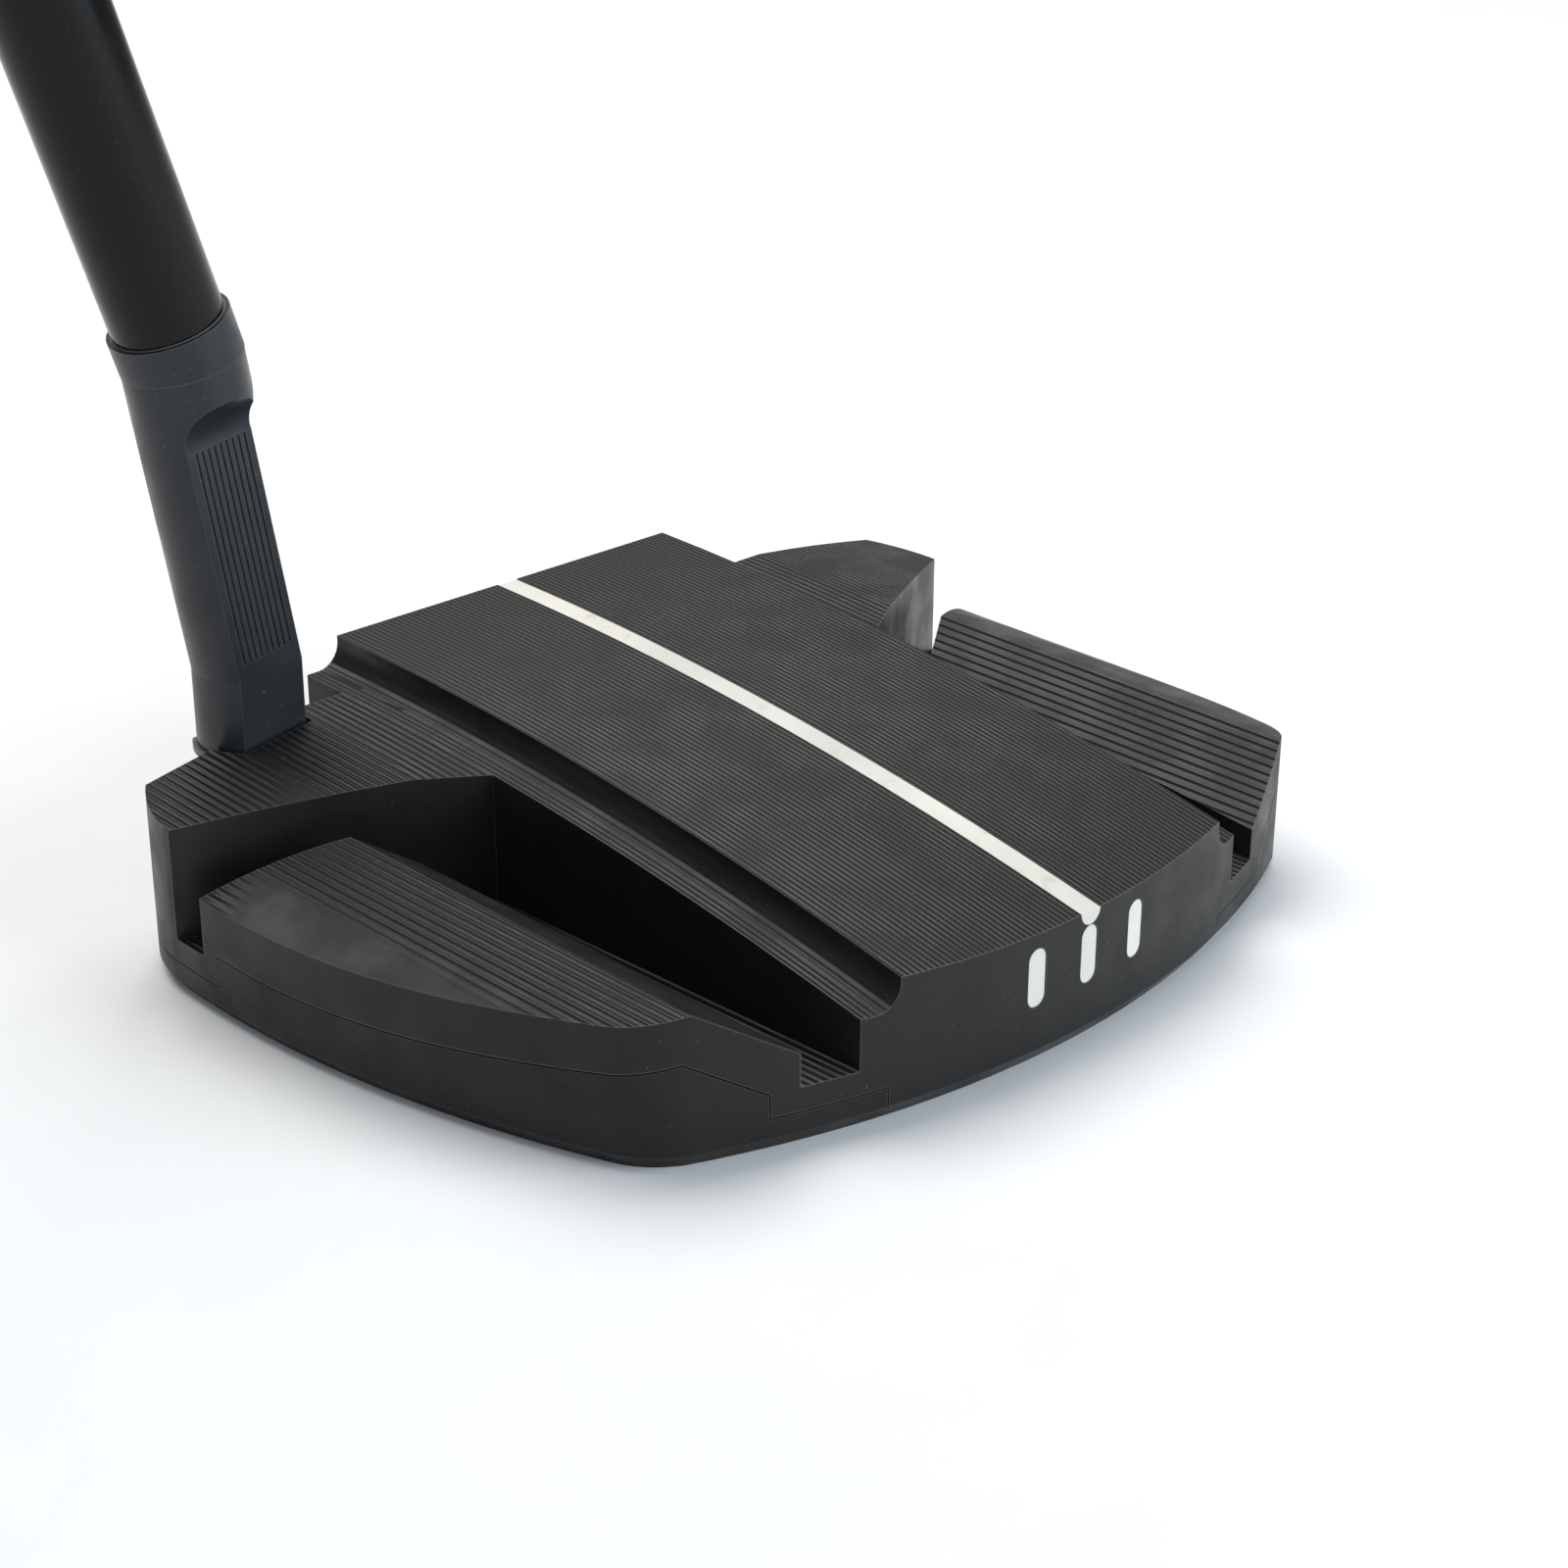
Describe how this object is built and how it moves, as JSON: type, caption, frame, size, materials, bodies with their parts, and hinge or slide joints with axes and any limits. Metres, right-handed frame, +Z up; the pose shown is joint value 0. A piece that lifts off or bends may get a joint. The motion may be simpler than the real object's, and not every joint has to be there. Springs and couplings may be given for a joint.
{
  "type": "mallet putter",
  "caption": "Right-handed mid-mallet putter with a milled black head, white sight line, steel sole weights, bent steel neck, black shaft and pistol grip.",
  "frame": {"origin": "middle of the flat sole, under the sight line, half way between the face and the rear wall", "axes": "+Z up from the sole, +Y towards the target (out of the face), +X towards the toe, -X towards the heel"},
  "size_m": [0.3575, 0.0746, 0.8475],
  "materials": {
    "head_finish": "matte black anodised over milled grooves",
    "weight_finish": "matte dark steel",
    "screw_finish": "blackened steel",
    "white_paint": "off-white paint",
    "neck_finish": "satin dark steel",
    "resin": "cured adhesive",
    "shaft_finish": "gloss black",
    "tape": "double-sided paper tape",
    "grip_rubber": "matte rubber"
  },
  "bodies": {
    "root": {"head_body": "head_finish", "heel_weight": "weight_finish", "toe_weight": "weight_finish", "heel_screw_front": "screw_finish", "heel_screw_rear": "screw_finish", "toe_screw_front": "screw_finish", "toe_screw_rear": "screw_finish", "sight_paint": "white_paint", "rear_mark_heel": "white_paint", "rear_mark_middle": "white_paint", "rear_mark_toe": "white_paint", "neck": "neck_finish", "neck_bond": "resin", "shaft": "shaft_finish", "shaft_bond": "resin", "grip_tape": "tape", "grip": "grip_rubber", "grip_cap": "grip_rubber"}
  },
  "joints": []
}
